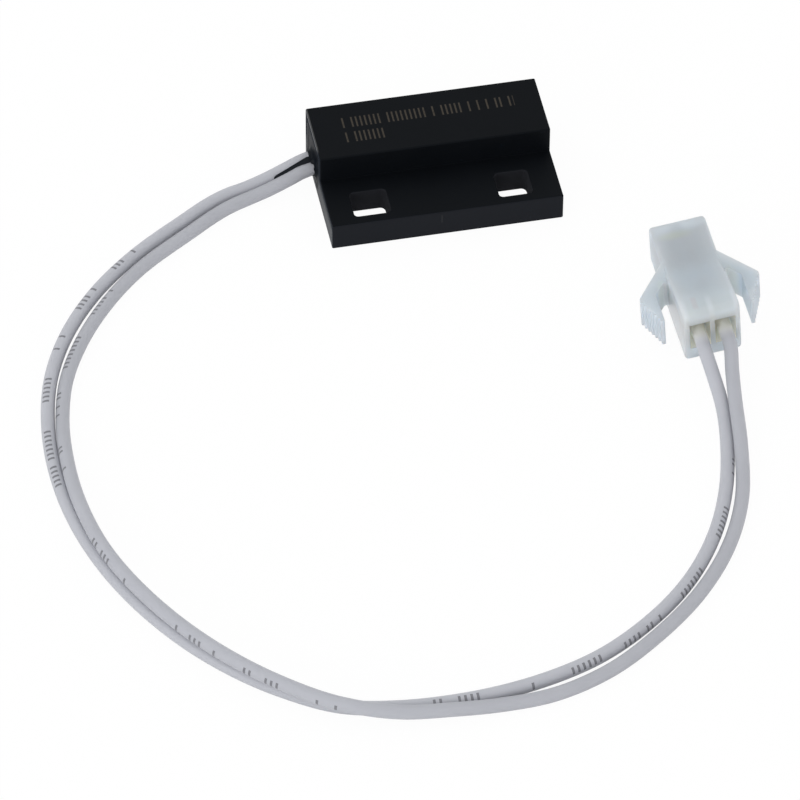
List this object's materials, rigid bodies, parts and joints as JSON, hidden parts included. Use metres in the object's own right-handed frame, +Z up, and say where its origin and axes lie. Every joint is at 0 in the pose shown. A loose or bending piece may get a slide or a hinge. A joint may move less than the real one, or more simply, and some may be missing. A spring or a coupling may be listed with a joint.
{
  "type": "flange-mount reed sensor",
  "caption": "Flange-mount reed sensor: a black potted block with a slotted flange, on long pale leads that end in a translucent snap-in connector housing.",
  "frame": {"origin": "middle of the sensor's flat underside", "axes": "+X along the sensor, away from the end that its leads leave; +Y from the slotted flange towards the tall block; +Z up, out of the block's top"},
  "size_m": [0.0708, 0.0763, 0.0074],
  "materials": {
    "housing_plastic": "black moulded thermoplastic, satin",
    "potting_resin": "black potting resin, glossy where it crept up the leads",
    "reed_glass": "clear greenish sealing glass",
    "nickel_iron": "nickel-iron reed leads",
    "solder": "tin solder",
    "tinned_copper": "tinned copper strands",
    "pale_pvc": "pale bluish-white wire insulation",
    "pale_nylon": "milky translucent nylon",
    "tinned_brass": "tinned brass sheet"
  },
  "bodies": {
    "root": {"sensor_housing": "housing_plastic", "potting": "potting_resin", "reed_glass": "reed_glass", "reed_blade_near": "nickel_iron", "reed_blade_far": "nickel_iron", "solder_near": "solder", "solder_far": "solder", "conductor_a_sensor_end": "tinned_copper", "conductor_b_sensor_end": "tinned_copper", "wire_a": "pale_pvc", "wire_b": "pale_pvc", "connector_housing": "pale_nylon", "contact_a": "tinned_brass", "contact_b": "tinned_brass", "conductor_a_connector_end": "tinned_copper", "conductor_b_connector_end": "tinned_copper"}
  },
  "joints": []
}
